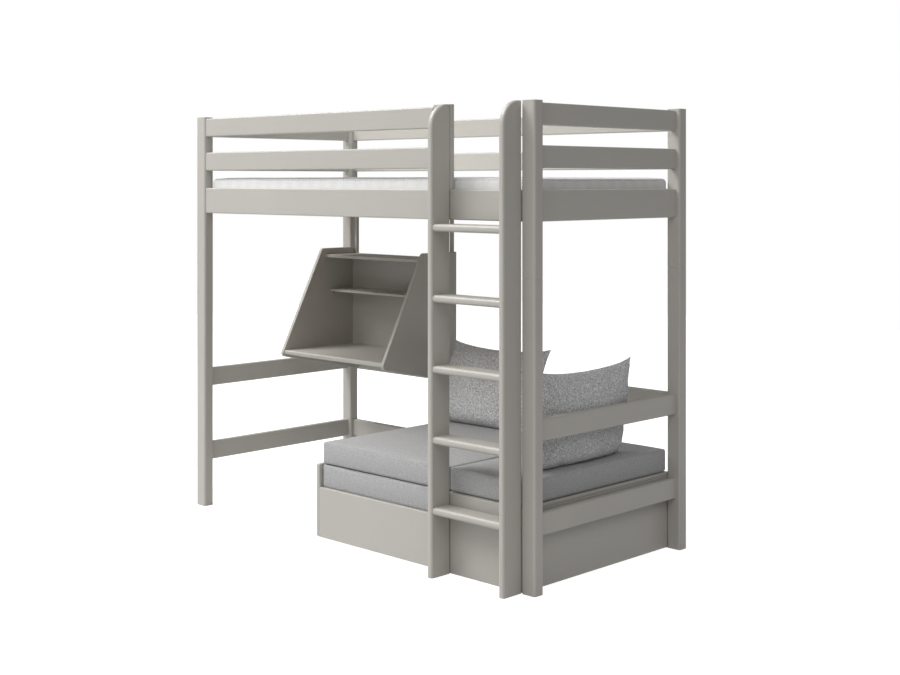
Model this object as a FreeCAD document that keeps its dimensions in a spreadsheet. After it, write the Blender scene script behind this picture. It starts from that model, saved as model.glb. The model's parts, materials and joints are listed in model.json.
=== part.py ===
import FreeCAD, Part
import os
import re

import Sketcher

# A children's loft bed: a high bed on four split posts, a ladder at the front right, a desk with
# shelves hung inside the back left corner, and a low sofa whose left half rolls out as a bed.
# +X runs along the bed's length to the right, +Y to the back, +Z up.  The origin is on the floor
# under the middle of the whole object, ladder included.  All sizes are millimetres.

DIMENSIONS = {
    # main frame
    "frame_length": 2141,
    "frame_width": 976,
    "frame_height": 1850,
    "post_width": 67,
    "post_depth": 51.4,
    "post_rounding": 10,
    "split_below_bed": 212,
    "joint_edge": 1.2,
    "rail_height": 86,
    "rail_thickness": 26,
    "rail_rounding": 6,
    "side_recess": 7,
    "guard_drop": 7,
    "guard_pitch": 161,
    "lower_top": 653,
    "lower_pitch": 353,
    "bed_board_height": 120,
    "bed_drop": 336,
    # fasteners
    "stud_radius": 4,
    "stud_in_rail": 50,
    "stud_in_post": 26,
    "stud_shift": 14,
    "stud_spread": 28,
    "connector_radius": 8,
    "connector_length": 120,
    "bolt_head_radius": 6,
    "bolt_head_depth": 3.5,
    "bolt_length": 60,
    "bolt_rise": 56,
    "bolt_pitch": 28,
    "guard_bolt_rise": 126,
    "hole_clearance": 0.1,
    # sleeping surface
    "mattress_end_play": 3.5,
    "mattress_side_play": 5,
    "mattress_thickness": 120,
    "mattress_sink": 74,
    "mattress_rounding": 22,
    "slat_thickness": 18,
    "slat_width": 68,
    "slat_margin": 40,
    "slat_end_gap": 2,
    "slat_edge": 3,
    "slat_count": 14,
    "ledge_size": 26,
    "small_edge": 2,
    "soft_gap": 0.3,
    # ladder
    "ladder_reach": 97,
    "ladder_width": 350,
    "ladder_gap": 2,
    "stringer_thickness": 26.5,
    "crown_flat": 12,
    "stringer_rounding": 9,
    "guard_end_width": 100,
    "rung_count": 5,
    "top_rung_drop": 14,
    "rung_thickness": 30,
    "rung_setback": 5,
    "rung_nose": 13,
    "rung_back_gap": 4,
    "groove_width": 3,
    "groove_depth": 1.5,
    "groove_pitch": 12,
    "groove_count": 4,
    # desk
    "desk_inset": 9,
    "desk_width": 748,
    "desk_panel": 18,
    "desk_back_gap": 5,
    "desk_drop": 191,
    "desk_height": 632,
    "desk_front_rise": 106,
    "desk_depth_bottom": 493,
    "desk_depth_top": 228,
    "desk_corner": 20,
    "desk_edge": 2,
    "worktop_rise": 134,
    "worktop_thickness": 22,
    "worktop_setback": 17,
    "worktop_nose": 8,
    "desk_back_thickness": 12,
    "top_shelf_drop": 31,
    "top_shelf_thickness": 15,
    "top_shelf_depth": 185,
    "mid_shelf_rise": 288,
    "mid_shelf_thickness": 12,
    "mid_shelf_depth": 153,
    "shelf_play": 0.5,
    "pin_radius": 3.5,
    "pin_in_panel": 10,
    "pin_out": 9,
    "pin_setback": 18,
    "batten_size": 16,
    "batten_inset": 20,
    "batten_lift": 13,
    # sofa, fixed half
    "sofa_desk_gap": 52,
    "sofa_setback": 8,
    "sofa_rear_gap": 1,
    "sofa_board": 22,
    "raised_step": 1,
    "board_edge": 3,
    "end_board_edge": 5,
    "seat_height": 218,
    "raised_length": 399,
    "platform_thickness": 14,
    "cross_rail_height": 27.5,
    "base_rail_thickness": 22,
    "cross_rail_thickness": 16,
    "riser_thickness": 18,
    "sofa_slat_width": 50,
    "sofa_slat_thickness": 20,
    "sofa_slat_pairs": 6,
    "comb_gap": 0.5,
    "tray_gap": 2,
    # sofa, rolling half
    "tray_floor_gap": 3,
    "tray_cross_thickness": 20,
    "packer_height": 5,
    "tray_end_rounding": 6,
    "wheel_radius": 22,
    "wheel_width": 18,
    "axle_radius": 5,
    "axle_overhang": 4,
    "axle_clearance": 0.05,
    "axle_block_length": 54,
    "axle_block_width": 20,
    "axle_block_inset": 72,
    "axle_block_height": 52,
    "axle_block_lift": 8,
    "wheel_gap": 4,
    # soft pieces
    "cushion_thickness": 99,
    "cushion_setback": 14,
    "cushion_rear_gap": 10,
    "cushion_riser_gap": 4,
    "end_cushion_setback": 8,
    "cushion_end_gap": 6,
    "cushion_rounding": 16,
    "pillow_width": 612,
    "pillow_height": 392,
    "pillow_thickness": 170,
    "pillow_rounding": 60,
    "back_pillow_lean": 24,
    "back_pillow_overhang": 38,
    "end_pillow_lean": 9.5,
    "end_pillow_from_front": 118,
}

# Levels and lines that several pieces share, as formulas of the dimensions above.
LEFT = "(0 - frame_length / 2)"
RIGHT = "(frame_length / 2)"
FRONT = "((ladder_reach - frame_width) / 2)"
BACK = "((ladder_reach + frame_width) / 2)"
END_INSET = "((post_width - rail_thickness) / 2)"
RAIL_FRONT = f"({FRONT} + side_recess)"
RAIL_BACK = f"({BACK} - side_recess - rail_thickness)"
GUARD_TOP = "(frame_height - guard_drop)"
BED_TOP = "(frame_height - bed_drop)"
BED_BOTTOM = f"({BED_TOP} - bed_board_height)"
SPLIT = f"({BED_BOTTOM} - split_below_bed)"
SLAT_TOP = f"({BED_TOP} - mattress_sink)"
LEDGE_TOP = f"({SLAT_TOP} - slat_thickness)"
STRINGER_RIGHT = f"({RIGHT} - post_width - ladder_gap - stringer_thickness)"
STRINGER_LEFT = f"({STRINGER_RIGHT} - ladder_width - stringer_thickness)"
RUNG_DEPTH = "(ladder_reach - rung_back_gap - rung_setback)"
RUNG_RISE = f"(({BED_BOTTOM} - top_rung_drop) / rung_count)"
GUARD_END = f"({STRINGER_LEFT} + stringer_thickness - guard_end_width)"
DESK_LEFT = f"({LEFT} + post_width + desk_inset)"
DESK_REAR = f"({RAIL_BACK} - desk_back_gap)"
BATTEN_FRONT = f"({RAIL_BACK} - batten_size)"
DESK_BACK_FACE = f"({BATTEN_FRONT} - desk_back_thickness)"
DESK_FRONT = f"({DESK_REAR} - desk_depth_bottom)"
DESK_TOP = f"({BED_BOTTOM} - desk_drop)"
DESK_LOW = f"({DESK_TOP} - desk_height)"
WORKTOP_TOP = f"({DESK_LOW} + worktop_rise)"
TOP_SHELF_TOP = f"({DESK_TOP} - top_shelf_drop)"
MID_SHELF_TOP = f"({WORKTOP_TOP} + mid_shelf_rise)"
SOFA_RIGHT = f"({RIGHT} - post_width)"
SOFA_LEFT = f"({DESK_LEFT} + desk_width + sofa_desk_gap)"
SOFA_FRONT = f"({FRONT} + sofa_setback)"
SOFA_DEPTH = f"({RAIL_BACK} - sofa_rear_gap - {SOFA_FRONT})"
SOFA_HEIGHT = "(seat_height + cushion_thickness + raised_step)"
RAISED_LEFT = f"({SOFA_RIGHT} - raised_length)"
TRAY_INSIDE = f"({SOFA_LEFT} + sofa_board)"
TRAY_RIGHT = f"({RAISED_LEFT} - tray_gap)"
TRAY_CROSS = f"({TRAY_RIGHT} - tray_gap - tray_cross_thickness)"
BASE_FRONT = f"({SOFA_FRONT} + sofa_board + tray_gap)"
BASE_DEPTH = f"({SOFA_DEPTH} - 2 * sofa_board - 2 * tray_gap)"
BASE_LEFT = f"({TRAY_INSIDE} + tray_gap)"
TRAY_SLAT_LOW = "(seat_height - sofa_slat_thickness)"
FIXED_SLAT_LOW = f"({TRAY_SLAT_LOW} - comb_gap)"
BASE_RAIL_TOP = f"({FIXED_SLAT_LOW} - cross_rail_height)"
COMB_PITCH = f"(({BASE_DEPTH} - 2 * tray_gap - sofa_slat_width) / (2 * sofa_slat_pairs))"

doc = FreeCAD.newDocument("LoftBed")
sheet = doc.addObject("Spreadsheet::Sheet", "dims")
WORD = re.compile(r"[a-z]\w+")
AXES = {
    "x": FreeCAD.Vector(1, 0, 0),
    "y": FreeCAD.Vector(0, 1, 0),
    "z": FreeCAD.Vector(0, 0, 1),
}
PLANES = {"x": "YZ_Plane", "y": "XZ_Plane", "z": "XY_Plane"}
NODES = []


def fill_sheet():
    for row, (name, value) in enumerate(DIMENSIONS.items(), 1):
        sheet.set(f"A{row}", name)
        sheet.set(f"B{row}", str(value))
        sheet.setAlias(f"B{row}", name)
    doc.recompute()


def number(name):
    return float(sheet.get(name))


def from_sheet(word):
    name = word.group()
    return "dims." + name if name in DIMENSIONS else name


def bind(item, prop, formula):
    """Ties a property to the sheet; the formula names dimensions by their aliases."""
    item.setExpression(prop, WORD.sub(from_sheet, formula))


def place(item, at):
    for axis, formula in zip("xyz", at):
        bind(item, f"Placement.Base.{axis}", formula)


def keep(item, label):
    """Names an object as one node of the finished part."""
    item.Label = label
    NODES.append(item)
    return item


def new_body(label):
    body = doc.addObject("PartDesign::Body", label)
    body.Label = label + "_body"
    return body


def new_sketch(body, role):
    sketch = body.newObject("Sketcher::SketchObject", "Outline")
    plane = [item for item in body.Origin.OriginFeatures if item.Role == role][0]
    sketch.AttachmentSupport = [(plane, "")]
    sketch.MapMode = "FlatFace"
    return sketch


def outline(sketch, corners):
    """Draws a closed polygon whose corners are pairs of formulas from the sketch's origin."""
    count = len(corners)
    start = [FreeCAD.Vector(10 * i, 10 * (i % 3), 0) for i in range(count)]
    for i in range(count):
        sketch.addGeometry(Part.LineSegment(start[i], start[(i + 1) % count]))
    for i in range(count):
        sketch.addConstraint(Sketcher.Constraint("Coincident", i, 2, (i + 1) % count, 1))
    for i, (across, up) in enumerate(corners):
        for kind, formula in (("DistanceX", across), ("DistanceY", up)):
            row = sketch.addConstraint(Sketcher.Constraint(kind, -1, 1, i, 1, 1.0))
            bind(sketch, f"Constraints[{row}]", formula)


def rectangle(sketch, wide, tall):
    outline(sketch, [("0", "0"), (wide, "0"), (wide, tall), ("0", tall)])


def pad(body, sketch, length, along):
    feature = body.newObject("PartDesign::Pad", "Pad")
    feature.Profile = sketch
    bind(feature, "Length", length)
    feature.Reversed = along == "y"
    return feature


def round_edges(body, pick, radius):
    """Fillets the edges of the body's tip that pick() accepts."""
    doc.recompute()
    base = body.Tip
    names = [f"Edge{i}" for i, edge in enumerate(base.Shape.Edges, 1) if pick(edge)]
    fillet = body.newObject("PartDesign::Fillet", "Rounding")
    fillet.Base = (base, names)
    bind(fillet, "Radius", radius)
    doc.recompute()


def runs(edge, along):
    if not isinstance(edge.Curve, Part.Line):
        return False
    return abs(edge.Curve.Direction.dot(AXES[along])) > 0.999


def all_edges(edge):
    return True


def board(label, along, at, extent, rounding=None):
    """A straight piece of timber sawn to a rectangle, with its long edges rounded."""
    body = new_body(label)
    wide, tall = [size for axis, size in zip("xyz", extent) if axis != along]
    sketch = new_sketch(body, PLANES[along])
    rectangle(sketch, wide, tall)
    pad(body, sketch, extent["xyz".index(along)], along)
    place(body, at)
    if rounding:
        round_edges(body, lambda edge: runs(edge, along), rounding)
    return body


def block(label, at, extent):
    box = doc.addObject("Part::Box", label)
    box.Label = label + "_block"
    for prop, formula in zip(("Length", "Width", "Height"), extent):
        bind(box, prop, formula)
    place(box, at)
    return box


def cylinder(label, along, at, radius, length):
    """A round bar that starts at the given point and runs along +X, +Y or +Z."""
    bar = doc.addObject("Part::Cylinder", label)
    bar.Label = label + "_bar"
    turn = FreeCAD.Rotation(AXES["z"], AXES[along])
    bar.Placement = FreeCAD.Placement(FreeCAD.Vector(0, 0, 0), turn)
    place(bar, at)
    bind(bar, "Radius", radius)
    bind(bar, "Height", length)
    return bar


def group(label, pieces):
    compound = doc.addObject("Part::Compound", label)
    compound.Links = pieces
    return keep(compound, label)


def cut(label, base, tools):
    """The base with each tool's room taken out of it."""
    tool = tools[0]
    if len(tools) > 1:
        tool = doc.addObject("Part::Compound", label + "_tools")
        tool.Links = tools
    result = doc.addObject("Part::Cut", label)
    result.Base = base
    result.Tool = tool
    return keep(result, label)


# ---------------------------------------------------------------- main frame

STUDS = []
HOLES = {}


def bore(name, tool):
    HOLES.setdefault(name, []).append(tool)


def stud(rail, post, along, at):
    """A threaded stud along a rail's end, and the holes it needs in rail and post."""
    length = "stud_in_rail + stud_in_post"
    STUDS.append(cylinder("stud", along, at, "stud_radius", length))
    hole = cylinder("stud_hole", along, at, "stud_radius + hole_clearance", length)
    bore(rail, hole)
    bore(post, hole)


def post_part(level, split):
    return "upper" if level > split else "lower"


def long_rail(name, wall, low, height, right=None):
    """A rail along X between two posts; wall is its front face's Y formula."""
    side = "front" if wall == RAIL_FRONT else "rear"
    start = f"{LEFT} + post_width"
    end = right or f"{RIGHT} - post_width"
    extent = (f"{end} - ({start})", "rail_thickness", height)
    blank = board(name, "x", (start, wall, low), extent, "rail_rounding")
    middle = f"{wall} + rail_thickness / 2"
    return blank, side, start, end, middle


def cross_rail(name, inset, low, height):
    """A rail along Y between two posts; inset is its left face's X formula."""
    start = f"{FRONT} + post_depth"
    extent = ("rail_thickness", "frame_width - 2 * post_depth", height)
    blank = board(name, "y", (inset, start, low), extent, "rail_rounding")
    side = "left" if inset == LEFT_END else "right"
    return blank, side, f"{inset} + rail_thickness / 2"


LEFT_END = f"({LEFT} + {END_INSET})"
RIGHT_END = f"({RIGHT} - {END_INSET} - rail_thickness)"
GUARD_TOP_LOW = f"({GUARD_TOP} - rail_height)"
GUARD_MID_LOW = f"({GUARD_TOP} - rail_height - guard_pitch)"
LOWER_MID_LOW = "(lower_top - rail_height)"
LOWER_LOW_LOW = "(lower_top - rail_height - lower_pitch)"


def studs_along_x(name, side, start, end, middle, levels, section):
    for level in levels:
        left = (f"{start} - stud_in_post", middle, level)
        stud(name, f"post_{side}_left_{section}", "x", left)
        if end is not None:
            right = (f"{end} - stud_in_rail", middle, level)
            stud(name, f"post_{side}_right_{section}", "x", right)


def studs_along_y(name, side, middle, levels, section):
    for level in levels:
        near = (middle, f"{FRONT} + post_depth - stud_in_post", level)
        far = (middle, f"{BACK} - post_depth - stud_in_rail", level)
        stud(name, f"post_front_{side}_{section}", "y", near)
        stud(name, f"post_rear_{side}_{section}", "y", far)


def rails():
    """Every board between the posts; studs of crossing rails pass above and below each other."""
    blanks = {}
    plain = "rail_height"
    side_rails = [
        ("guard_rail_back_top", RAIL_BACK, GUARD_TOP_LOW, plain, "upper"),
        ("guard_rail_back_middle", RAIL_BACK, GUARD_MID_LOW, plain, "upper"),
        ("lower_rail_back_middle", RAIL_BACK, LOWER_MID_LOW, plain, "lower"),
        ("lower_rail_back_low", RAIL_BACK, LOWER_LOW_LOW, plain, "lower"),
        ("bed_side_front", RAIL_FRONT, BED_BOTTOM, "bed_board_height", "upper"),
        ("bed_side_back", RAIL_BACK, BED_BOTTOM, "bed_board_height", "upper"),
    ]
    for name, wall, low, height, section in side_rails:
        blank, side, start, end, middle = long_rail(name, wall, low, height)
        centre = f"{low} + {height} / 2"
        levels = [f"{centre} + stud_shift"]
        if height != plain:
            levels = [f"{centre} + stud_shift + stud_spread", f"{centre} - stud_shift - stud_spread"]
        studs_along_x(name, side, start, end, middle, levels, section)
        blanks[name] = blank
    for name, low in (("guard_rail_front_top", GUARD_TOP_LOW), ("guard_rail_front_middle", GUARD_MID_LOW)):
        blank, side, start, end, middle = long_rail(name, RAIL_FRONT, low, plain, GUARD_END)
        level = f"{low} + rail_height / 2 + stud_shift"
        studs_along_x(name, side, start, None, middle, [level], "upper")
        stud(name, "guard_end_board", "x", (f"{end} - stud_in_rail", middle, level))
        blanks[name] = blank
    for side, inset in (("left", LEFT_END), ("right", RIGHT_END)):
        end_rails = [
            (f"guard_rail_{side}_top", GUARD_TOP_LOW, plain, "upper"),
            (f"guard_rail_{side}_middle", GUARD_MID_LOW, plain, "upper"),
            (f"lower_rail_{side}_middle", LOWER_MID_LOW, plain, "lower"),
            (f"lower_rail_{side}_low", LOWER_LOW_LOW, plain, "lower"),
            (f"bed_end_{side}", BED_BOTTOM, "bed_board_height", "upper"),
        ]
        for name, low, height, section in end_rails:
            blank, facing, middle = cross_rail(name, inset, low, height)
            centre = f"{low} + {height} / 2"
            levels = [f"{centre} - stud_shift"]
            if height != plain:
                levels = [f"{centre} + stud_shift", f"{centre} - stud_shift"]
            studs_along_y(name, facing, middle, levels, section)
            blanks[name] = blank
    return blanks


def guard_end_board():
    """The upright that ends the front guard beside the ladder; it stands on the bed side."""
    extent = ("guard_end_width", "rail_thickness", "bed_drop")
    at = (GUARD_END, RAIL_FRONT, BED_TOP)
    blank = board("guard_end_board", "z", at, extent, "stringer_rounding")
    level = f"{BED_TOP} - stud_in_rail"
    for share in (1, 3):
        x = f"{GUARD_END} + {share} * guard_end_width / 4"
        spot = (x, f"{RAIL_FRONT} + rail_thickness / 2", level)
        stud("bed_side_front", "guard_end_board", "z", spot)
    return blank


def ease_end(body, end):
    """Chamfers a post's end all round, so that the joint of the two lengths shows as a fine line."""
    doc.recompute()
    base = body.Tip
    level = getattr(base.Shape.BoundBox, end)
    names = [f"Edge{i}" for i, edge in enumerate(base.Shape.Edges, 1) if at_level(edge, level)]
    chamfer = body.newObject("PartDesign::Chamfer", "Eased")
    chamfer.Base = (base, names)
    bind(chamfer, "Size", "joint_edge")
    doc.recompute()


def at_level(edge, level):
    box = edge.BoundBox
    return abs(box.ZMin - level) < 0.01 and abs(box.ZMax - level) < 0.01


def posts():
    """Four posts, each of two lengths joined end to end by a steel pin."""
    for depth in ("front", "rear"):
        for side in ("left", "right"):
            x = LEFT if side == "left" else f"({RIGHT} - post_width)"
            y = FRONT if depth == "front" else f"({BACK} - post_depth)"
            centre = (f"{x} + post_width / 2", f"{y} + post_depth / 2",
                      f"{SPLIT} - connector_length / 2")
            STUDS.append(cylinder("connector", "z", centre, "connector_radius", "connector_length"))
            hole = cylinder("connector_hole", "z", centre, "connector_radius + hole_clearance",
                            "connector_length")
            for section in ("lower", "upper"):
                name = f"post_{depth}_{side}_{section}"
                low, tall, end = ("0", SPLIT, "ZMax")
                if section == "upper":
                    low, tall, end = (SPLIT, f"frame_height - {SPLIT}", "ZMin")
                blank = board(name, "z", (x, y, low), ("post_width", "post_depth", tall), "post_rounding")
                ease_end(blank, end)
                bore(name, hole)
                cut(name, blank, HOLES[name])


# ------------------------------------------------------------ sleeping surface

def sleeping_surface():
    length = "frame_length - 2 * post_width"
    ledges = []
    for y in (f"{RAIL_FRONT} + rail_thickness", f"{RAIL_BACK} - ledge_size"):
        at = (f"{LEFT} + post_width", y, f"{LEDGE_TOP} - ledge_size")
        ledges.append(board("ledge", "x", at, (length, "ledge_size", "ledge_size"), "small_edge"))
    group("slat_ledges", ledges)
    count = int(number("slat_count"))
    first = f"{LEFT} + post_width + slat_margin"
    room = "(frame_length - 2 * post_width - 2 * slat_margin - slat_width)"
    slats = []
    for i in range(count):
        at = (f"{first} + {i} * {room} / (slat_count - 1)",
              f"{RAIL_FRONT} + rail_thickness + slat_end_gap", LEDGE_TOP)
        across = f"{RAIL_BACK} - {RAIL_FRONT} - rail_thickness - 2 * slat_end_gap"
        slats.append(board("slat", "y", at, ("slat_width", across, "slat_thickness"), "slat_edge"))
    group("bed_slats", slats)
    inner_front = f"({RAIL_FRONT} + rail_thickness)"
    at = (f"{LEFT} + post_width + mattress_end_play", f"{inner_front} + mattress_side_play",
          f"{SLAT_TOP} + soft_gap")
    extent = ("frame_length - 2 * post_width - 2 * mattress_end_play",
              f"{RAIL_BACK} - {inner_front} - 2 * mattress_side_play", "mattress_thickness")
    body = board("mattress", "z", at, extent)
    round_edges(body, all_edges, "mattress_rounding")
    keep(body, "mattress")


# ---------------------------------------------------------------------- ladder

def ladder_bolt(x, level, host, stringer):
    """A bolt from the inside of the bed, through a board and into a stringer's back edge."""
    inner = f"{RAIL_FRONT} + rail_thickness"
    head = cylinder("bolt_head", "y", (x, inner, level), "bolt_head_radius", "bolt_head_depth")
    shank_at = (x, f"{inner} - bolt_length", level)
    shank = cylinder("bolt_shank", "y", shank_at, "stud_radius", "bolt_length")
    hole = cylinder("bolt_hole", "y", shank_at, "stud_radius + hole_clearance", "bolt_length")
    bolt = doc.addObject("Part::Fuse", "bolt")
    bolt.Base = head
    bolt.Tool = shank
    STUDS.append(bolt)
    bore(host, hole)
    bore(stringer, hole)


def ladder_bolts():
    for x, name in ((STRINGER_LEFT, "ladder_stringer_left"), (STRINGER_RIGHT, "ladder_stringer_right")):
        middle = f"{x} + stringer_thickness / 2"
        for step in (0, 1):
            ladder_bolt(middle, f"{BED_BOTTOM} + bolt_rise + {step} * bolt_pitch", "bed_side_front", name)
    upper = f"{STRINGER_LEFT} + stringer_thickness / 2"
    ladder_bolt(upper, f"{BED_TOP} + guard_bolt_rise", "guard_end_board", "ladder_stringer_left")


def stringer(name, x):
    """A side board of the ladder, with a quarter-round shoulder at its top front corner."""
    at = (x, f"{FRONT} - ladder_reach", "0")
    extent = ("stringer_thickness", "ladder_reach + side_recess", "frame_height")
    body = board(name, "z", at, extent)
    top = number("frame_height")
    round_edges(body, lambda edge: front_top(edge, top), "ladder_reach + side_recess - crown_flat")
    round_edges(body, upright_or_crown, "stringer_rounding")
    cut(name, body, HOLES[name])


def front_top(edge, top):
    return runs(edge, "x") and edge.CenterOfMass.z > top - 1 and edge.CenterOfMass.y < 1


def upright_or_crown(edge):
    box = edge.BoundBox
    return box.ZLength > 1 and box.XLength < 1


def rung(index):
    """A tread with a rounded nose and fine grooves sawn along its top."""
    at = (f"{STRINGER_LEFT} + stringer_thickness",
          f"{FRONT} - rung_back_gap - {RUNG_DEPTH}",
          f"{index} * {RUNG_RISE} - rung_thickness")
    body = board("rung", "x", at, ("ladder_width", RUNG_DEPTH, "rung_thickness"))
    round_edges(body, lambda edge: runs(edge, "x") and edge.CenterOfMass.y < 1, "rung_nose")
    rear = body.Tip.Shape.BoundBox.YMax
    round_edges(body, lambda edge: runs(edge, "x") and edge.CenterOfMass.y > rear - 1,
                "stringer_rounding")
    sketch = new_sketch(body, "YZ_Plane")
    near = "(rung_nose + groove_pitch)"
    low = "(rung_thickness - groove_depth)"
    high = "(rung_thickness + groove_depth)"
    outline(sketch, [(near, low), (f"{near} + groove_width", low),
                     (f"{near} + groove_width", high), (near, high)])
    solid = body.Tip.Shape.Volume
    groove = body.newObject("PartDesign::Pocket", "Groove")
    groove.Profile = sketch
    groove.Reversed = True
    bind(groove, "Length", "ladder_width")
    doc.recompute()
    if groove.Shape.Volume >= solid:
        raise SystemExit("the rung's groove cuts nothing")
    pattern = body.newObject("PartDesign::LinearPattern", "Grooves")
    pattern.Originals = [groove]
    pattern.Direction = (sketch, ["H_Axis"])
    bind(pattern, "Length", "(groove_count - 1) * groove_pitch")
    pattern.Occurrences = int(number("groove_count"))
    body.Tip = pattern
    doc.recompute()
    if pattern.Shape.Volume >= groove.Shape.Volume:
        raise SystemExit("the rung's groove pattern cuts nothing")
    return body


# ------------------------------------------------------------------------ desk

def desk_side(name, x):
    """A side panel: slanted front, and a lower edge that falls towards the back."""
    body = new_body(name)
    sketch = new_sketch(body, "YZ_Plane")
    outline(sketch, [
        ("0", "desk_front_rise"),
        ("desk_depth_bottom", "0"),
        ("desk_depth_bottom", "desk_height"),
        ("desk_depth_bottom - desk_depth_top", "desk_height"),
    ])
    pad(body, sketch, "desk_panel", "x")
    place(body, (x, DESK_FRONT, DESK_LOW))
    rear = number("desk_depth_bottom")
    round_edges(body, lambda edge: runs(edge, "x") and edge.CenterOfMass.y < rear - 1, "desk_corner")
    round_edges(body, lambda edge: not runs(edge, "x"), "desk_edge")
    return body


def desk():
    inner = f"({DESK_LEFT} + desk_panel)"
    clear = "(desk_width - 2 * desk_panel)"
    worktop_front = f"({DESK_FRONT} + worktop_setback)"
    sides = {
        "desk_side_left": desk_side("desk_side_left", DESK_LEFT),
        "desk_side_right": desk_side("desk_side_right", f"{DESK_LEFT} + desk_width - desk_panel"),
    }
    shelf_front = f"({DESK_BACK_FACE} - mid_shelf_depth)"
    shelf_low = f"({MID_SHELF_TOP} - mid_shelf_thickness)"
    pin_level = f"({shelf_low} - pin_radius)"
    pins = []
    for y in (f"{shelf_front} + pin_setback", f"{DESK_BACK_FACE} - pin_setback"):
        left = (f"{inner} - pin_in_panel", y, pin_level)
        right = (f"{inner} + {clear} - pin_out", y, pin_level)
        for at, name in ((left, "desk_side_left"), (right, "desk_side_right")):
            pins.append(cylinder("pin", "x", at, "pin_radius", "pin_in_panel + pin_out"))
            hole = cylinder("pin_hole", "x", at, "pin_radius + hole_clearance", "pin_in_panel + pin_out")
            bore(name, hole)
    for name, blank in sides.items():
        cut(name, blank, HOLES[name])
    group("desk_shelf_pins", pins)

    worktop_low = f"({WORKTOP_TOP} - worktop_thickness)"
    deep = f"{DESK_BACK_FACE} - {worktop_front}"
    body = board("desk_worktop", "x", (inner, worktop_front, worktop_low),
                 (clear, deep, "worktop_thickness"))
    round_edges(body, lambda edge: runs(edge, "x") and edge.CenterOfMass.y < 1, "worktop_nose")
    keep(body, "desk_worktop")
    keep(board("desk_back_panel", "z", (inner, DESK_BACK_FACE, worktop_low),
               (clear, "desk_back_thickness", f"{TOP_SHELF_TOP} - {worktop_low}")), "desk_back_panel")
    at = (inner, f"{DESK_BACK_FACE} - top_shelf_depth", f"{TOP_SHELF_TOP} - top_shelf_thickness")
    keep(board("desk_top_shelf", "x", at, (clear, "top_shelf_depth", "top_shelf_thickness"),
               "desk_edge"), "desk_top_shelf")
    at = (f"{inner} + shelf_play", shelf_front, shelf_low)
    keep(board("desk_middle_shelf", "x", at,
               (f"{clear} - 2 * shelf_play", "mid_shelf_depth - shelf_play", "mid_shelf_thickness"),
               "desk_edge"), "desk_middle_shelf")
    battens = []
    low = f"({LOWER_MID_LOW} + batten_lift)"
    tall = f"{LEDGE_TOP} - ledge_size - {low}"
    for x in (f"{DESK_LEFT} + batten_inset", f"{DESK_LEFT} + desk_width - batten_inset - batten_size"):
        battens.append(board("batten", "z", (x, BATTEN_FRONT, low),
                             ("batten_size", "batten_size", tall), "small_edge"))
    group("desk_hanging_battens", battens)


# ------------------------------------------------------------------------ sofa

def comb_slats(label, first, left, right, low, thickness):
    """Every second slat of the comb, from number first."""
    slats = []
    count = 2 * int(number("sofa_slat_pairs")) + 1
    for i in range(first, count, 2):
        at = (left, f"{BASE_FRONT} + tray_gap + {i} * {COMB_PITCH}", low)
        extent = (f"{right} - {left}", "sofa_slat_width", thickness)
        slats.append(board("comb_slat", "x", at, extent, "small_edge"))
    group(label, slats)


def sofa_base():
    """The half that stays under the bed: a raised box at the right and a slatted frame."""
    front = (RAISED_LEFT, SOFA_FRONT, "0")
    rear = (RAISED_LEFT, f"{SOFA_FRONT} + {SOFA_DEPTH} - sofa_board", "0")
    for name, at in (("sofa_front_board", front), ("sofa_back_board", rear)):
        body = board(name, "x", at, ("raised_length", "sofa_board", SOFA_HEIGHT), "board_edge")
        keep(body, name)
    inside = f"({SOFA_DEPTH} - 2 * sofa_board)"
    inner_front = f"({SOFA_FRONT} + sofa_board)"
    rim = f"({SOFA_HEIGHT} - platform_thickness)"
    body = board("sofa_end_board", "y", (f"{SOFA_RIGHT} - sofa_board", inner_front, "0"),
                 ("sofa_board", inside, rim), "end_board_edge")
    keep(body, "sofa_end_board")
    at = (RAISED_LEFT, inner_front, rim)
    top = board("platform", "y", at, ("raised_length", inside, "platform_thickness"), "small_edge")
    at = (RAISED_LEFT, inner_front, "seat_height")
    riser = board("riser", "y", at, ("riser_thickness", inside, f"{rim} - seat_height"))
    group("sofa_platform", [top, riser])

    frame = []
    long_side = f"{SOFA_RIGHT} - sofa_board - {BASE_LEFT}"
    for y in (BASE_FRONT, f"{BASE_FRONT} + {BASE_DEPTH} - base_rail_thickness"):
        frame.append(board("base_rail", "x", (BASE_LEFT, y, "0"),
                           (long_side, "base_rail_thickness", BASE_RAIL_TOP), "board_edge"))
    for x, thick in ((BASE_LEFT, "cross_rail_thickness"), (RAISED_LEFT, "riser_thickness")):
        frame.append(board("cross_rail", "y", (x, BASE_FRONT, BASE_RAIL_TOP),
                           (thick, BASE_DEPTH, "cross_rail_height")))
    group("sofa_base_frame", frame)
    comb_slats("sofa_fixed_slats", 1, BASE_LEFT, f"({RAISED_LEFT} + riser_thickness)", FIXED_SLAT_LOW,
               "sofa_slat_thickness + comb_gap")


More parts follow.
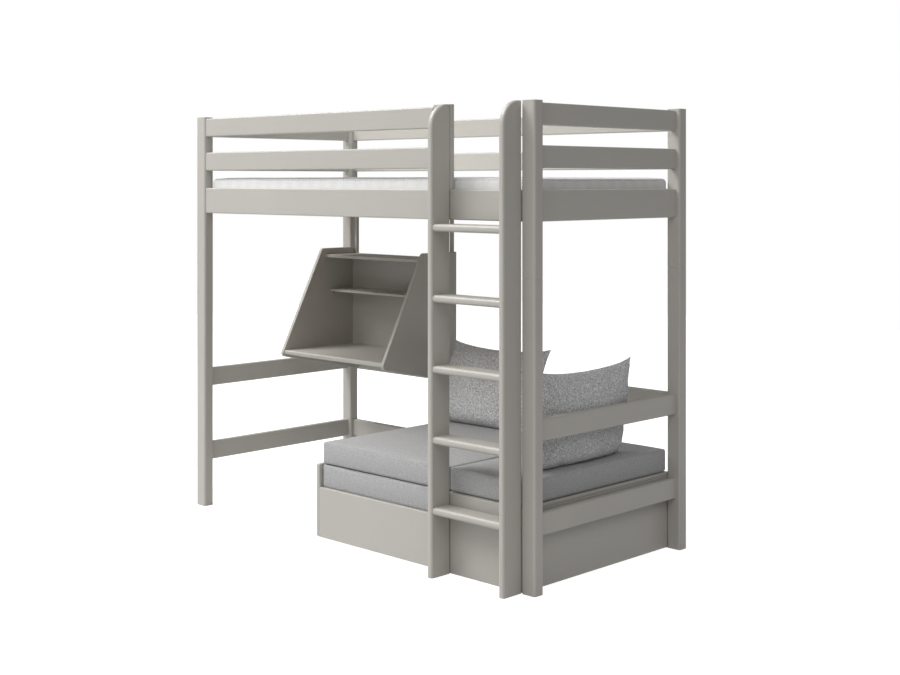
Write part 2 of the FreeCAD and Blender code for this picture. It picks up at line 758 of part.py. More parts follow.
def sofa_tray():
    """The half that rolls out to the left on two axles."""
    body = board("tray_end_panel", "z", (SOFA_LEFT, SOFA_FRONT, "tray_floor_gap"),
                 ("sofa_board", SOFA_DEPTH, f"{SOFA_HEIGHT} - tray_floor_gap"))
    round_edges(body, all_edges, "tray_end_rounding")
    keep(body, "tray_end_panel")
    sides = []
    for y in (SOFA_FRONT, f"{SOFA_FRONT} + {SOFA_DEPTH} - sofa_board"):
        extent = (f"{TRAY_RIGHT} - {TRAY_INSIDE}", "sofa_board", "seat_height - tray_floor_gap")
        sides.append(board("tray_side", "x", (TRAY_INSIDE, y, "tray_floor_gap"), extent, "board_edge"))
    group("tray_side_boards", sides)
    comb_slats("tray_slats", 0, TRAY_INSIDE, TRAY_RIGHT, TRAY_SLAT_LOW, "sofa_slat_thickness")

    rail_top = f"({TRAY_SLAT_LOW} - packer_height)"
    rail_low = f"({BASE_RAIL_TOP} + tray_gap)"
    inner_front = f"({SOFA_FRONT} + sofa_board)"
    parts = [board("tray_cross", "y", (TRAY_CROSS, inner_front, rail_low),
                   ("tray_cross_thickness", f"{SOFA_DEPTH} - 2 * sofa_board", f"{rail_top} - {rail_low}"))]
    for i in range(0, 2 * int(number("sofa_slat_pairs")) + 1, 2):
        at = (TRAY_CROSS, f"{BASE_FRONT} + tray_gap + {i} * {COMB_PITCH}", rail_top)
        parts.append(block("packer", at, ("tray_cross_thickness", "sofa_slat_width", "packer_height")))
    blocks = []
    far = f"({SOFA_FRONT} + {SOFA_DEPTH} - sofa_board - axle_block_inset - axle_block_width)"
    near = f"({inner_front} + axle_block_inset)"
    left_axle = f"({TRAY_INSIDE} + axle_block_length / 2)"
    right_axle = f"({TRAY_CROSS} + tray_cross_thickness / 2)"
    for y in (near, far):
        leg = block("tray_leg", (TRAY_CROSS, y, "axle_block_lift"),
                    ("tray_cross_thickness", "axle_block_width", f"{rail_low} - axle_block_lift"))
        parts.append(bored(leg, right_axle, y))
        cheek = block("axle_block", (TRAY_INSIDE, y, "axle_block_lift"),
                      ("axle_block_length", "axle_block_width", "axle_block_height"))
        blocks.append(bored(cheek, left_axle, y))
    group("tray_cross_rail", parts)
    group("tray_axle_blocks", blocks)
    wheelset("tray_wheels_left", left_axle, near, far)
    wheelset("tray_wheels_right", right_axle, near, far)


def bored(piece, x, y):
    """An axle block or leg with the bearing hole for the axle."""
    hole = cylinder("bearing", "y", (x, y, "wheel_radius"), "axle_radius + axle_clearance",
                    "axle_block_width")
    result = doc.addObject("Part::Cut", "bored")
    result.Base = piece
    result.Tool = hole
    return result


def wheelset(label, x, near, far):
    """A steel axle with a wheel pressed on inside each bearing."""
    start = f"({near} - axle_overhang)"
    length = f"{far} + axle_block_width + axle_overhang - {start}"
    axle = cylinder("axle", "y", (x, start, "wheel_radius"), "axle_radius", length)
    wheels = [axle]
    for y in (f"({near} + axle_block_width + wheel_gap)", f"({far} - wheel_gap - wheel_width)"):
        at = (x, y, "wheel_radius")
        disc = cylinder("wheel_disc", "y", at, "wheel_radius", "wheel_width")
        hole = cylinder("wheel_bore", "y", at, "axle_radius", "wheel_width")
        wheel = doc.addObject("Part::Cut", "wheel")
        wheel.Base = disc
        wheel.Tool = hole
        wheels.append(wheel)
    group(label, wheels)


# ----------------------------------------------------------------- soft pieces

def cushion(label, left, low, length):
    at = (left, f"{SOFA_FRONT} + cushion_setback", f"{low} + soft_gap")
    deep = f"{SOFA_DEPTH} - cushion_setback - cushion_rear_gap"
    body = board(label, "z", at, (length, deep, "cushion_thickness"))
    round_edges(body, all_edges, "cushion_rounding")
    keep(body, label)


def cushions():
    left = f"({TRAY_INSIDE} + cushion_end_gap)"
    long = f"{RAISED_LEFT} - cushion_riser_gap - {left}"
    stacked = "(seat_height + cushion_thickness + 2 * soft_gap)"
    cushion("sofa_cushion_lower", left, "seat_height", long)
    cushion("sofa_cushion_upper", left, stacked, long)
    cushion("sofa_cushion_end", f"({RAISED_LEFT} + tray_gap)", SOFA_HEIGHT,
            "raised_length - tray_gap - end_cushion_setback")


def pillow(label, extent, turn, at):
    """A loose pillow as a rounded slab that leans back on its lower edge."""
    body = board(label, "z", ("0", "0", "0"), extent)
    round_edges(body, all_edges, "pillow_rounding")
    body.Placement = FreeCAD.Placement(FreeCAD.Vector(0, 0, 0), turn)
    place(body, at)
    keep(body, label)


def pillows():
    """Both lean outwards on the middle rail: one at the back, one at the right end."""
    raised = f"({SOFA_HEIGHT} + cushion_thickness + 2 * soft_gap)"
    reaches_end = f"{SOFA_LEFT} - back_pillow_overhang + pillow_width > {RAISED_LEFT}"
    stacked = f"({reaches_end} ? {raised} : seat_height + 2 * cushion_thickness + 3 * soft_gap)"
    for label, lean, seat in (("pillow_back", "back_pillow_lean", stacked),
                              ("pillow_end", "end_pillow_lean", raised)):
        slope = f"({lean} * 1 deg)"
        half = "(pillow_thickness / 2)"
        lift = f"(({half} - pillow_rounding) * sin{slope} + pillow_rounding * (1 - cos{slope}))"
        foot = f"({seat} + {lift})"
        reach = f"({half} / cos{slope} + (lower_top - {foot}) * tan{slope} + {half} * cos{slope})"
        height = f"{foot} + {half} * sin{slope}"
        degrees = number(lean)
        if label == "pillow_back":
            pillow(label, ("pillow_width", "pillow_thickness", "pillow_height"),
                   FreeCAD.Rotation(AXES["x"], -degrees),
                   (f"{SOFA_LEFT} - back_pillow_overhang", f"{RAIL_BACK} - soft_gap - {reach}", height))
        else:
            pillow(label, ("pillow_thickness", "pillow_width", "pillow_height"),
                   FreeCAD.Rotation(AXES["y"], degrees),
                   (f"{RIGHT_END} - soft_gap - {reach}", f"{FRONT} + end_pillow_from_front", height))


# ---------------------------------------------------------------------- output

def check():
    """Stops if any object failed, or if a node isn't made of valid solids."""
    for item in doc.Objects:
        if "Invalid" in item.State or "Error" in item.State:
            raise SystemExit(f"{item.Label}: {item.State}")
    for item in NODES:
        shape = item.Shape
        if shape.isNull() or not shape.isValid() or not shape.Solids:
            raise SystemExit(f"{item.Label}: no valid solid")


def build():
    fill_sheet()
    blanks = rails()
    end_blank = guard_end_board()
    ladder_bolts()
    for name, blank in blanks.items():
        cut(name, blank, HOLES[name])
    cut("guard_end_board", end_blank, HOLES["guard_end_board"])
    posts()
    sleeping_surface()
    stringer("ladder_stringer_left", STRINGER_LEFT)
    stringer("ladder_stringer_right", STRINGER_RIGHT)
    group("ladder_rungs", [rung(i) for i in range(1, int(number("rung_count")) + 1)])
    group("frame_connectors", STUDS)
    desk()
    sofa_base()
    sofa_tray()
    cushions()
    pillows()
    doc.recompute()
    check()
    os.makedirs("parts", exist_ok=True)
    for item in NODES:
        item.Shape.exportStep(os.path.join("parts", item.Label + ".step"))
    print(len(NODES), "nodes")


build()
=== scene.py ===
import json
import math

import bmesh
import bpy
from mathutils import Matrix, Vector, noise

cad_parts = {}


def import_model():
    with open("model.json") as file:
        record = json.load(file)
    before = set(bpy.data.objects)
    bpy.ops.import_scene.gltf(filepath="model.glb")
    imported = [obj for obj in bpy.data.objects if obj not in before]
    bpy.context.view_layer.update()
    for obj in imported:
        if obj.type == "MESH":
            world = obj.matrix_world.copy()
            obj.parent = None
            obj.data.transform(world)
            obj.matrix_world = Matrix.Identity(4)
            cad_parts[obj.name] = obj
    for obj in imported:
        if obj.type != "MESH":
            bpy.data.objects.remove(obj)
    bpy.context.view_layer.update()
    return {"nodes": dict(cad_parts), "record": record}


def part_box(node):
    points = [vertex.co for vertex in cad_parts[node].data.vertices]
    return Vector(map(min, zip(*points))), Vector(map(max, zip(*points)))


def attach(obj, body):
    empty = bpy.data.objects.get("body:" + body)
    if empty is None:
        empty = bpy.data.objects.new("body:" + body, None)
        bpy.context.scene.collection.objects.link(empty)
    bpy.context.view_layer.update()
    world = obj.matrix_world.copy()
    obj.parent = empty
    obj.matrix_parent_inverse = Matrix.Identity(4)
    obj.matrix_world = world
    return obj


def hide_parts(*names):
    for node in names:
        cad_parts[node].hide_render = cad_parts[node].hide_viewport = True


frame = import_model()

NODES = frame["nodes"]
SOFT = ["mattress", "sofa_cushion_lower", "sofa_cushion_upper", "sofa_cushion_end",
        "pillow_back", "pillow_end"]

# ------------------------------------------------------------------- materials


class Shader:
    """A material with a short way to add nodes and links."""

    def __init__(self, name, color, roughness):
        self.material = bpy.data.materials.new(name)
        self.material.use_nodes = True
        self.tree = self.material.node_tree
        self.surface = self.tree.nodes["Principled BSDF"]
        self.surface.inputs["Base Color"].default_value = (*color, 1)
        self.surface.inputs["Roughness"].default_value = roughness
        self.place = self.add("ShaderNodeTexCoord").outputs["Object"]

    def add(self, kind, **inputs):
        node = self.tree.nodes.new(kind)
        for name, value in inputs.items():
            node.inputs[name.title()].default_value = value
        return node

    def link(self, source, target):
        self.tree.links.new(source, target)

    def stretched(self, scale):
        """Object coordinates, multiplied by a factor on each axis."""
        node = self.add("ShaderNodeMapping", scale=scale)
        self.link(self.place, node.inputs["Vector"])
        return node.outputs["Vector"]

    def noise(self, vector, scale, detail=2.0, roughness=0.5, distortion=0.0):
        node = self.add("ShaderNodeTexNoise", scale=scale, detail=detail, roughness=roughness,
                        distortion=distortion)
        self.link(vector, node.inputs["Vector"])
        return node.outputs["Fac"]

    def ramp(self, value, stops):
        """Maps a value to colours; stops are pairs of place and linear colour."""
        node = self.add("ShaderNodeValToRGB")
        ramp = node.color_ramp
        while len(ramp.elements) < len(stops):
            ramp.elements.new(0.5)
        for element, (place, color) in zip(ramp.elements, stops):
            element.position = place
            element.color = (*color, 1)
        self.link(value, node.inputs["Fac"])
        return node.outputs["Color"]

    def mapped(self, value, low, high, from_low=0.0, from_high=1.0):
        """Stretches a value's range, from_low to from_high, over low to high."""
        node = self.add("ShaderNodeMapRange")
        for key, number in (("From Min", from_low), ("From Max", from_high),
                            ("To Min", low), ("To Max", high)):
            node.inputs[key].default_value = number
        self.link(value, node.inputs["Value"])
        return node.outputs["Result"]

    def math(self, operation, first, second=0.0):
        """Works on two values or sockets; operations on one value leave the second out."""
        node = self.add("ShaderNodeMath")
        node.operation = operation
        for socket, value in zip(node.inputs, (first, second)):
            if isinstance(value, (int, float)):
                socket.default_value = value
            else:
                self.link(value, socket)
        return node.outputs["Value"]

    def bump(self, height, strength, distance, below=None):
        """A normal with the height's relief on it, over the relief of another bump if one is given."""
        node = self.add("ShaderNodeBump", strength=strength, distance=distance)
        self.link(height, node.inputs["Height"])
        if below is not None:
            self.link(below, node.inputs["Normal"])
        return node.outputs["Normal"]

    def finish(self, color, roughness, normal):
        for name, source in (("Base Color", color), ("Roughness", roughness), ("Normal", normal)):
            self.link(source, self.surface.inputs[name])
        return self.material


def shade(color, factor):
    return tuple(min(1.0, part * factor) for part in color)


PAINT = (0.455, 0.438, 0.402)
GRAIN = {"x": (1.2, 26, 26), "y": (26, 1.2, 26), "z": (26, 26, 1.2)}  # stretch on each axis
QUILT = 42.0  # radians of the mattress cover's diagonal waves in a metre


def painted_wood(name, along):
    """Warm light grey satin paint, with the timber's grain just showing through it."""
    s = Shader(name, PAINT, 0.42)
    fibres = s.noise(s.stretched(GRAIN[along]), 9.0, 5.0, 0.62, 0.4)
    cloud = s.noise(s.place, 2.6, 3.0)
    mixed = s.math("ADD", s.math("MULTIPLY", fibres, 0.55), s.math("MULTIPLY", cloud, 0.45))
    color = s.ramp(mixed, [(0.30, shade(PAINT, 0.955)), (0.52, PAINT), (0.72, shade(PAINT, 1.045))])
    speckle = s.noise(s.place, 420.0, 2.0)
    normal = s.bump(fibres, 0.20, 0.0006, s.bump(speckle, 0.10, 0.0003))
    return s.finish(color, s.mapped(fibres, 0.36, 0.50), normal)


def raw_pine(name, along):
    """Sanded softwood with growth rings stretched along the board, and a few darker streaks."""
    s = Shader(name, (0.56, 0.40, 0.23), 0.6)
    vector = s.stretched(GRAIN[along])
    rings = s.noise(vector, 1.6, 3.0, 0.45, 1.4)
    bands = s.math("FRACT", s.math("MULTIPLY", rings, 9.0))
    fibres = s.noise(vector, 14.0, 4.0, 0.6)
    mixed = s.math("ADD", s.math("MULTIPLY", bands, 0.7), s.math("MULTIPLY", fibres, 0.3))
    pale, warm, dark = (0.60, 0.45, 0.27), (0.52, 0.36, 0.20), (0.38, 0.24, 0.12)
    color = s.ramp(mixed, [(0.05, pale), (0.60, warm), (0.95, dark)])
    return s.finish(color, s.mapped(fibres, 0.5, 0.72), s.bump(mixed, 0.25, 0.0006))


def metal(name, color, roughness, metallic):
    """Bare or lacquered steel with a fine grain and a slight change of tone."""
    s = Shader(name, color, roughness)
    s.surface.inputs["Metallic"].default_value = metallic
    grain = s.noise(s.place, 900.0, 3.0)
    spots = s.noise(s.place, 60.0, 3.0)
    tint = s.ramp(spots, [(0.3, shade(color, 0.85)), (0.7, shade(color, 1.1))])
    return s.finish(tint, s.mapped(grain, roughness - 0.08, roughness + 0.12), s.bump(grain, 0.15, 0.0002))


def woven(name, dark, light, thread, patch, fuzz):
    """A coarse upholstery cloth: crossed threads, and yarns of two greys mixed in short runs."""
    s = Shader(name, light, 0.9)
    across = s.noise(s.stretched((1, 1, 3)), 1 / thread, 2.0, 0.6)
    down = s.noise(s.stretched((3, 3, 1)), 1 / thread, 2.0, 0.6)
    weave = s.math("ADD", s.math("MULTIPLY", across, 0.5), s.math("MULTIPLY", down, 0.5))
    yarn = s.noise(s.place, 1 / patch, 3.0, 0.7)
    mixed = s.math("ADD", s.math("MULTIPLY", weave, 0.45), s.math("MULTIPLY", yarn, 0.55))
    middle = tuple((a + b) / 2 for a, b in zip(dark, light))
    color = s.ramp(mixed, [(0.40, dark), (0.50, middle), (0.60, light)])
    s.surface.inputs["Sheen Weight"].default_value = fuzz
    s.surface.inputs["Sheen Roughness"].default_value = 0.5
    normal = s.bump(weave, 0.55, thread * 0.5, s.bump(yarn, 0.3, patch * 0.25))
    return s.finish(color, s.mapped(weave, 0.82, 0.96), normal)


def knit(name):
    """The mattress cover: white double-knit with a fine diamond quilting, with painted shade in the
    quilting's grooves and painted light on its crests.
    """
    s = Shader(name, (0.68, 0.68, 0.68), 0.85)
    split = s.add("ShaderNodeSeparateXYZ")
    s.link(s.place, split.inputs["Vector"])
    waves = []
    for operation in ("ADD", "SUBTRACT"):
        diagonal = s.math(operation, split.outputs["X"], split.outputs["Y"])
        waves.append(s.math("ABSOLUTE", s.math("SINE", s.math("MULTIPLY", diagonal, QUILT))))
    quilt = s.math("MINIMUM", waves[0], waves[1])
    loops = s.noise(s.place, 600.0, 2.0)
    # painted shade and light: the colour darkens into the quilting's sunken grooves and lightens on its
    # crests, following the relief
    quilt_groove_shade, quilt_slope_shade, quilt_crest_light = (0.64, 0.64, 0.64), (0.68, 0.68, 0.68), (0.70, 0.70, 0.70)
    color = s.ramp(quilt, [(0.0, quilt_groove_shade), (0.18, quilt_slope_shade), (1.0, quilt_crest_light)])
    s.surface.inputs["Sheen Weight"].default_value = 0.2
    normal = s.bump(s.mapped(quilt, 0.0, 1.0, 0.0, 0.35), 0.12, 0.002, s.bump(loops, 0.3, 0.0006))
    return s.finish(color, s.mapped(loops, 0.8, 0.95), normal)


def moulded(name, color):
    """Plastic or rubber with a finely pitted skin."""
    s = Shader(name, color, 0.5)
    pits = s.noise(s.place, 700.0, 2.0)
    cloud = s.noise(s.place, 30.0, 2.0)
    tint = s.ramp(cloud, [(0.3, shade(color, 0.85)), (0.7, shade(color, 1.15))])
    return s.finish(tint, s.mapped(pits, 0.42, 0.6), s.bump(pits, 0.25, 0.0003))


def longest(node):
    """The axis along which a node's box is longest."""
    low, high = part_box(node)
    size = high - low
    return "xyz"[max(range(3), key=lambda i: size[i])]


def dress_frame():
    """Gives every CAD node that stays visible its finish, with the grain along the piece."""
    painted = {axis: painted_wood(f"painted_wood_{axis}", axis) for axis in "xyz"}
    pine = {axis: raw_pine(f"raw_pine_{axis}", axis) for axis in "xyz"}
    others = {
        "zinc_steel": metal("zinc_steel", (0.55, 0.55, 0.56), 0.38, 1.0),
        "black_metal": metal("black_metal", (0.02, 0.02, 0.02), 0.4, 0.0),
        "wheel_rubber": moulded("wheel_rubber", (0.05, 0.05, 0.055)),
    }
    grain = {"ladder_rungs": "x", "bed_slats": "y", "sofa_platform": "y", "desk_side_left": "z",
             "desk_side_right": "z", "sofa_base_frame": "y"}
    for part in frame["record"]["subparts"]:
        name, slot = part["node"], part["material_slot"]
        if name in SOFT:
            continue
        axis = grain.get(name, longest(name))
        material = others.get(slot) or (painted if slot == "painted_wood" else pine)[axis]
        for place in NODES[name].material_slots:
            place.material = material


# ---------------------------------------------------------------- soft modelling

WELT_SIDES = 8
FOAM_CELL = 0.03  # size of a foam cushion's mesh away from its edges
EDGE_CELLS = 6  # cells across a foam cushion's rounded edge
SIDE_PULL = 0.004  # how far a foam cushion's sides stand out at half height
SIDE_DIP = 0.0015  # and how far they then draw in between the corners
PILLOW_GRID = (72, 48)
PILLOW_HALF = (0.303, 0.078)  # half the pillows' width and thickness
PILLOW_EARS = 0.005
PILLOW_SIDE_PULL = 0.015
PILLOW_SAG = 0.12
PUFF_FRAMES = 20
NOTHING = 1e-9  # a length too short to have a direction


def new_object(name, vertices, faces, material, smooth=True):
    mesh = bpy.data.meshes.new(name)
    mesh.from_pydata([tuple(v) for v in vertices], [], faces)
    mesh.validate()
    mesh.polygons.foreach_set("use_smooth", [smooth] * len(mesh.polygons))
    mesh.materials.append(material)
    piece = bpy.data.objects.new(name, mesh)
    bpy.context.scene.collection.objects.link(piece)
    return piece


def spaced(half, edge, edge_cells, middle_cells):
    """Places from -half to half, close together within edge of each end."""
    inner = half - edge
    left = [-half + edge * i / edge_cells for i in range(edge_cells)]
    middle = [-inner + 2 * inner * i / middle_cells for i in range(middle_cells + 1)]
    return left + middle + [-v for v in reversed(left)]


def box_surface(xs, ys, zs):
    """The outer skin of a grid of points, as vertices and quads without doubles."""
    lists = (xs, ys, zs)
    index, points, faces = {}, [], []

    def vertex(key):
        if key not in index:
            index[key] = len(points)
            points.append(Vector((xs[key[0]], ys[key[1]], zs[key[2]])))
        return index[key]

    for axis in range(3):
        u, v = (axis + 1) % 3, (axis + 2) % 3
        for side in (0, len(lists[axis]) - 1):
            for i in range(len(lists[u]) - 1):
                for j in range(len(lists[v]) - 1):
                    quad = []
                    for du, dv in ((0, 0), (1, 0), (1, 1), (0, 1)):
                        key = [0, 0, 0]
                        key[axis], key[u], key[v] = side, i + du, j + dv
                        quad.append(vertex(tuple(key)))
                    faces.append(quad if side else quad[::-1])
    return points, faces


def rounded(point, half, radius):
    """Moves a point of a box's skin onto the same box with round edges and corners."""
    inner = Vector([max(-(h - radius), min(h - radius, c)) for c, h in zip(point, half)])
    away = point - inner
    if away.length < NOTHING:
        return point
    return inner + away.normalized() * radius


def welt(name, path, radius, material):
    """A closed round cord along a path, for a piped or rolled seam."""
    rings, sides = len(path), WELT_SIDES
    vertices, faces = [], []
    for i, point in enumerate(path):
        ahead = (path[(i + 1) % rings] - path[i - 1]).normalized()
        out = ahead.cross(Vector((0, 0, 1))).normalized()
        up = out.cross(ahead)
        for j in range(sides):
            angle = 2 * math.pi * j / sides
            vertices.append(point + out * math.cos(angle) * radius + up * math.sin(angle) * radius)
    for i in range(rings):
        for j in range(sides):
            a, b = i * sides + j, i * sides + (j + 1) % sides
            c, d = (a + sides) % len(vertices), (b + sides) % len(vertices)
            faces.append((a, b, d, c))
    return new_object(name, vertices, faces, material)


def corner_path(half_x, half_y, corner, steps=8, along=24):
    """A rounded rectangle in plan, counter-clockwise, as evenly read points."""
    points = []
    centres = ((1, 1, 0), (-1, 1, 1), (-1, -1, 2), (1, -1, 3))
    for sx, sy, quarter in centres:
        for i in range(steps + 1):
            angle = math.pi / 2 * (quarter + i / steps)
            points.append(Vector((sx * (half_x - corner) + corner * math.cos(angle),
                                  sy * (half_y - corner) + corner * math.sin(angle), 0)))
    dense = []
    for a, b in zip(points, points[1:] + points[:1]):
        cells = max(1, round((b - a).length / (2 * (half_x + half_y) / (4 * along))))
        dense += [a.lerp(b, k / cells) for k in range(cells)]
    return dense


def ripple(point, size, seed):
    """A small smooth value from -1 to 1 that changes over the given distance."""
    return noise.noise(point / size + Vector((seed * 7.3, seed * 3.1, seed * 5.7)))


def foam_slab(node, material, radius, crown, wave, seam, seed):
    """A box cushion: softly crowned top, sides that pull in between the corners, sewn edges."""
    low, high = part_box(node)
    centre, half = (low + high) / 2, (high - low) / 2
    half.z -= crown * 0.3
    edge = radius * 1.4
    cells = [max(EDGE_CELLS, round(2 * h / FOAM_CELL)) for h in half]
    axes = [spaced(h, edge, EDGE_CELLS, c) for h, c in zip(half, cells)]
    points, faces = box_surface(*axes)
    shaped, pinned = [], []
    for number, point in enumerate(points):
        share = Vector([c / h for c, h in zip(point, half)])
        if abs(share.z) > 0.7 and max(abs(share.x), abs(share.y)) > 0.97:
            pinned.append(number)
        p = rounded(point, half, radius)
        bulge = (1 - share.x ** 4) * (1 - share.y ** 4)
        p.z += crown * (0.6 * bulge - 0.3) * share.z
        pull = SIDE_PULL * (1 - share.z ** 2)
        p.x += share.x * (pull * (1 - share.y ** 6) - SIDE_DIP * (1 - share.y ** 2))
        p.y += share.y * (pull * (1 - share.x ** 6) - SIDE_DIP * (1 - share.x ** 2))
        p.z += wave * ripple(p, 0.16, seed) * (1 if share.z > 0 else 0.3)
        p.y += wave * 0.6 * ripple(p, 0.11, seed + 1) * share.y
        shaped.append(p + centre)
    piece = new_object(node + "_soft", shaped, faces, material)
    puff(piece, 2.0, 0.003, pinned)
    welts = []
    for side, label in ((1, "top"), (-1, "bottom")):
        inset = radius * 0.29
        path = corner_path(half.x - inset, half.y - inset, radius * 1.1)
        level = half.z - inset
        ring = []
        for point in path:
            sx, sy = point.x / half.x, point.y / half.y
            bulge = (1 - min(1, abs(sx)) ** 4) * (1 - min(1, abs(sy)) ** 4)
            z = side * (level + crown * (0.6 * bulge - 0.3))
            ring.append(Vector((point.x, point.y, z)) + centre)
        welts.append(welt(f"{node}_{label}_seam", ring, seam, material))
    return piece, welts


def pillow_points(half):
    """Front and back skins of a knife-edge pillow in its own plane: x wide, z tall, y thick.
    Its weight rests on the lower edge, so that edge is straight and full and the top one sags."""
    columns, rows = PILLOW_GRID
    skins = []
    for face in (-1, 1):
        skin = []
        for j in range(rows + 1):
            for i in range(columns + 1):
                u = math.sin(math.pi / 2 * (2 * i / columns - 1))
                v = math.sin(math.pi / 2 * (2 * j / rows - 1))
                x = half.x * u * (1 - PILLOW_SIDE_PULL * (1 - v * v) * abs(u) ** 3)
                drop = PILLOW_SAG * (1 - u * u) * v ** 3 if v > 0 else 0
                z = half.z * v * (1 - drop)
                upright = (1 - v ** 2) ** 0.7 if v > 0 else (1 - abs(v) ** 5) ** 0.5
                y = face * half.y * (1 - abs(u) ** 2.6) ** 0.55 * upright
                reach = PILLOW_EARS * abs(u * v) ** 6 if v > 0 else 0
                skin.append(Vector((x + reach * u, y, z + reach * v)))
        skins.append(skin)
    return skins


def pillow_mesh(name, half, place, low, material, seed):
    """Joins the two skins along the seam, turns the pillow to where it leans and rests it on low."""
    columns, rows = PILLOW_GRID
    front, back = pillow_points(half)
    count = len(front)

    def at(i, j, skin):
        rim = i in (0, columns) or j in (0, rows)
        return j * (columns + 1) + i + (count if skin and not rim else 0)

    faces = []
    for j in range(rows):
        for i in range(columns):
            quad = [(i, j), (i + 1, j), (i + 1, j + 1), (i, j + 1)]
            faces.append([at(a, b, 0) for a, b in quad])
            faces.append([at(a, b, 1) for a, b in reversed(quad)])
    points = []
    for skin in (front, back):
        for k, point in enumerate(skin):
            i, j = k % (columns + 1), k // (columns + 1)
            edge = min(i, columns - i, j, rows - j) / 6
            pucker = 0.0028 * math.exp(-edge) * math.sin(0.9 * (i + j) + 2.1 * seed)
            soft = 0.005 * ripple(point, 0.09, seed) + 0.0025 * ripple(point, 0.035, seed + 3)
            side = 1 if skin is back else -1
            inner = min(1.0, edge)
            points.append(place @ (point + Vector((0, side * (pucker + soft) * inner, 0))))
    piece = new_object(name, points, faces, material)
    clean(piece)
    puff(piece, 3.0, 0.007)
    settle = low - min(v.co.z for v in piece.data.vertices)
    piece.data.transform(Matrix.Translation((0, 0, settle)))
    return piece


def clean(piece):
    """Drops the back skin's unused rim points and makes the normals face outwards."""
    work = bmesh.new()
    work.from_mesh(piece.data)
    loose = [v for v in work.verts if not v.link_faces]
    bmesh.ops.delete(work, geom=loose, context="VERTS")
    bmesh.ops.recalc_face_normals(work, faces=work.faces)
    work.to_mesh(piece.data)
    work.free()


def puff(piece, pressure, cap, pinned=()):
    """Fills a closed cloth skin with air for a few frames; no point moves further than cap."""
    cloth = piece.modifiers.new("Cloth", "CLOTH")
    cloth.settings.use_pressure = True
    cloth.settings.uniform_pressure_force = pressure
    cloth.settings.effector_weights.gravity = 0
    if pinned:
        piece.vertex_groups.new(name="pinned").add(pinned, 1.0, "REPLACE")
        cloth.settings.vertex_group_mass = "pinned"
    for frame_number in range(1, PUFF_FRAMES + 1):
        bpy.context.scene.frame_set(frame_number)
    filled = piece.evaluated_get(bpy.context.evaluated_depsgraph_get())
    moves = [after.co - before.co for before, after in zip(piece.data.vertices, filled.data.vertices)]
    for vertex, move in zip(piece.data.vertices, moves):
        vertex.co += move * min(1.0, cap / max(move.length, NOTHING))
    piece.modifiers.remove(cloth)
    bpy.context.scene.frame_set(1)


def soften(piece):
    smooth = piece.modifiers.new("Soft", "SUBSURF")
    smooth.levels = 1
    smooth.render_levels = 1


def register(piece, body):
    """Ties a piece to the body it moves with."""
    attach(piece, body)


def soft_pieces():
    cloth = woven("cushion_fabric", (0.30, 0.301, 0.303), (0.47, 0.471, 0.474), 0.0032, 0.0054, 0.12)
    tweed = woven("pillow_fabric", (0.24, 0.242, 0.246), (0.84, 0.842, 0.846), 0.0042, 0.0062, 0.1)
    cover = knit("mattress_fabric")
    # node, cloth, body, slot, edge radius, crown, wave, welt radius, seed
    slabs = [
        ("mattress", cover, "root", "mattress_fabric", 0.020, 0.004, 0.0010, 0.0026, 1),
        ("sofa_cushion_lower", cloth, "tray", "cushion_fabric", 0.009, 0.001, 0.0010, 0.0012, 2),
        ("sofa_cushion_upper", cloth, "tray", "cushion_fabric", 0.010, 0.005, 0.0016, 0.0012, 3),
        ("sofa_cushion_end", cloth, "root", "cushion_fabric", 0.010, 0.005, 0.0016, 0.0012, 4),
    ]
    for node, material, body, slot, radius, crown, wave, seam, seed in slabs:
        piece, welts = foam_slab(node, material, radius, crown, wave, seam, seed)
        for item in [piece] + welts:
            register(item, body)
        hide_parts(node)
    # node, half height, lean
    leans = (("pillow_back", 0.200, Matrix.Rotation(math.radians(-24.0), 4, "X")),
             ("pillow_end", 0.206, Matrix.Rotation(math.radians(9.5), 4, "Y")
              @ Matrix.Rotation(math.radians(90), 4, "Z")))
    for seed, (node, tall, turn) in enumerate(leans, 5):
        half = Vector((*PILLOW_HALF, tall))
        low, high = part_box(node)
        place = Matrix.Translation((low + high) / 2) @ turn
        piece = pillow_mesh(node + "_soft", half, place, low.z, tweed, seed)
        soften(piece)
        register(piece, "root")
        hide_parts(node)


# ----------------------------------------------------------------- stage and view

FLOOR_HALF = 9
FLOOR_GREY = 0.50
FLOOR_GLOW = 0.86  # what the floor adds for the camera and reflections only
SKY_LIGHT = 0.25
BED_MIDDLE = Vector((0, 0, 0.9))
LAMP_DISTANCE = 8.0
LAMP_SIZE = 4.5
LENS = 55.81
LENS_SHIFT = -0.1742  # part of the image's width
VIEWPOINT = (4.4733, -4.3587, 1.5480)
VIEWPOINT_TURN = 44.442  # degrees to the left of the bed's depth
VIEWPOINT_REACH = 0.2  # metres


def stage():
    size = FLOOR_HALF
    corners = [(-size, -size, 0), (size, -size, 0), (size, size, 0), (-size, size, 0)]
    floor = new_object("floor", corners, [(0, 1, 2, 3)], floor_material(), smooth=False)


def seen_by(tree, *kinds):
    """A socket that is 1 for rays of either kind and 0 for the rest."""
    seen = tree.nodes.new("ShaderNodeLightPath")
    rays = tree.nodes.new("ShaderNodeMath")
    rays.operation = "MAXIMUM"
    for socket, kind in zip(rays.inputs, kinds):
        tree.links.new(seen.outputs[f"Is {kind} Ray"], socket)
    return rays.outputs[0]


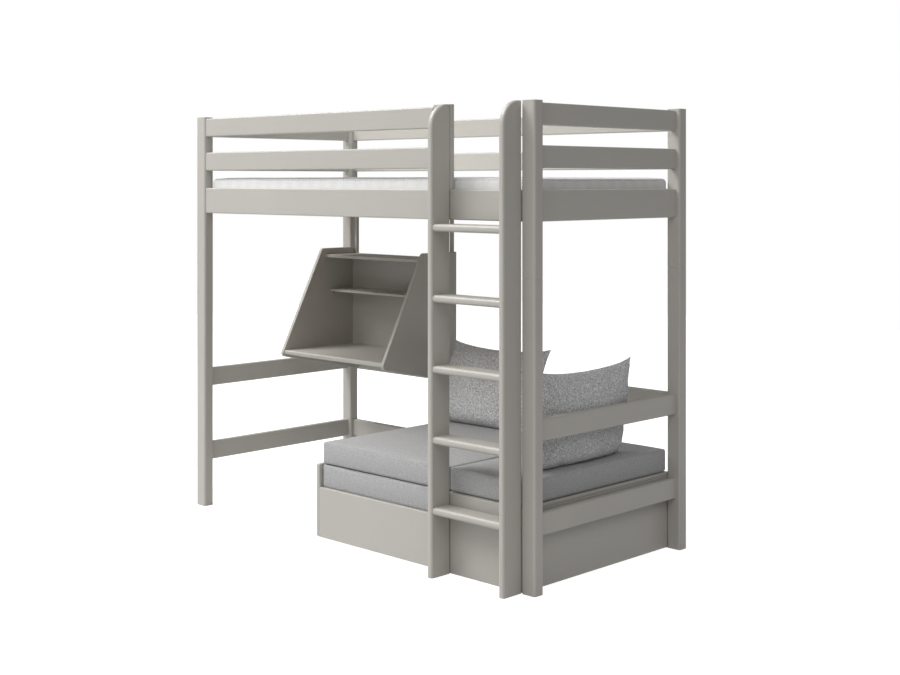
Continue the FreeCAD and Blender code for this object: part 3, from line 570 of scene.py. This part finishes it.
def floor_material():
    """A pale floor that the camera sees as white but that still takes the object's shadow."""
    material = bpy.data.materials.new("floor")
    material.use_nodes = True
    tree = material.node_tree
    surface = tree.nodes["Principled BSDF"]
    surface.inputs["Base Color"].default_value = (FLOOR_GREY, FLOOR_GREY, FLOOR_GREY, 1)
    surface.inputs["Roughness"].default_value = 0.9
    surface.inputs["Emission Color"].default_value = (1, 1, 1, 1)
    level = tree.nodes.new("ShaderNodeMath")
    level.operation = "MULTIPLY"
    level.inputs[1].default_value = FLOOR_GLOW
    tree.links.new(seen_by(tree, "Camera", "Glossy"), level.inputs[0])
    tree.links.new(level.outputs[0], surface.inputs["Emission Strength"])
    return material


def world():
    """Even grey light from all round; the camera sees white, also through glass."""
    sky = bpy.data.worlds.new("studio")
    bpy.context.scene.world = sky
    sky.use_nodes = True
    tree = sky.node_tree
    background = tree.nodes["Background"]
    level = tree.nodes.new("ShaderNodeMapRange")
    level.inputs["To Min"].default_value = SKY_LIGHT
    level.inputs["To Max"].default_value = 1.0
    tree.links.new(seen_by(tree, "Camera", "Transmission"), level.inputs["Value"])
    tree.links.new(level.outputs["Result"], background.inputs["Strength"])
    background.inputs["Color"].default_value = (1, 1, 1, 1)


def sun(name, towards, strength, softness):
    """A distant soft lamp; towards points from the object to the lamp."""
    lamp = bpy.data.lights.new(name, "SUN")
    lamp.energy = strength
    lamp.angle = math.radians(softness)
    item = bpy.data.objects.new(name, lamp)
    item.rotation_euler = Vector(towards).to_track_quat("Z", "Y").to_euler()
    bpy.context.scene.collection.objects.link(item)


def softbox(name, azimuth, elevation, light):
    """A round soft lamp aimed at the middle of the bed. Azimuth is counted from the front, to the
    right; light is what a surface that faces the lamp gets at the middle of the bed."""
    turn, rise = math.radians(azimuth), math.radians(elevation)
    towards = Vector((math.sin(turn) * math.cos(rise), -math.cos(turn) * math.cos(rise), math.sin(rise)))
    lamp = bpy.data.lights.new(name, "AREA")
    lamp.shape = "DISK"
    lamp.size = LAMP_SIZE
    lamp.energy = light * math.pi * LAMP_DISTANCE ** 2
    item = bpy.data.objects.new(name, lamp)
    item.location = BED_MIDDLE + towards * LAMP_DISTANCE
    item.rotation_euler = towards.to_track_quat("Z", "Y").to_euler()
    bpy.context.scene.collection.objects.link(item)


def lights():
    softbox("key", -44, 48, 2.2)
    softbox("key_side", -80, 50, 1.15)
    softbox("key_front", -10, 42, 0.75)
    sun("fill_right", (0.62, -0.40, 0.68), 0.55, 32)
    sun("fill_front", (0.26, -0.89, 0.37), 0.29, 32)


def shift_at_viewpoint(item, viewpoint):
    """Keeps the lens shift while the camera stands at its own viewpoint. Anywhere else it is 0,
    so the object is centred."""
    curve = item.data.driver_add("shift_y")
    for modifier in list(curve.modifiers):
        curve.modifiers.remove(modifier)
    curve.driver.type = "SUM"
    distance = curve.driver.variables.new()
    distance.type = "LOC_DIFF"
    distance.targets[0].id = item
    distance.targets[1].id = viewpoint
    for reach, shift in ((0, LENS_SHIFT), (VIEWPOINT_REACH, 0)):
        key = curve.keyframe_points.insert(reach, shift)
        key.interpolation = "LINEAR"


def camera():
    data = bpy.data.cameras.new("camera")
    data.sensor_width = 36
    data.lens = LENS
    data.shift_y = LENS_SHIFT
    data.clip_end = 60
    item = bpy.data.objects.new("camera", data)
    item.location = VIEWPOINT
    item.rotation_euler = (math.pi / 2, 0, math.radians(VIEWPOINT_TURN))
    viewpoint = bpy.data.objects.new("viewpoint", None)
    viewpoint.location = item.location
    bpy.context.scene.collection.objects.link(item)
    bpy.context.scene.collection.objects.link(viewpoint)
    bpy.context.scene.camera = item
    shift_at_viewpoint(item, viewpoint)


dress_frame()
soft_pieces()
stage()
world()
lights()
camera()
bpy.context.scene.view_settings.view_transform = "Standard"
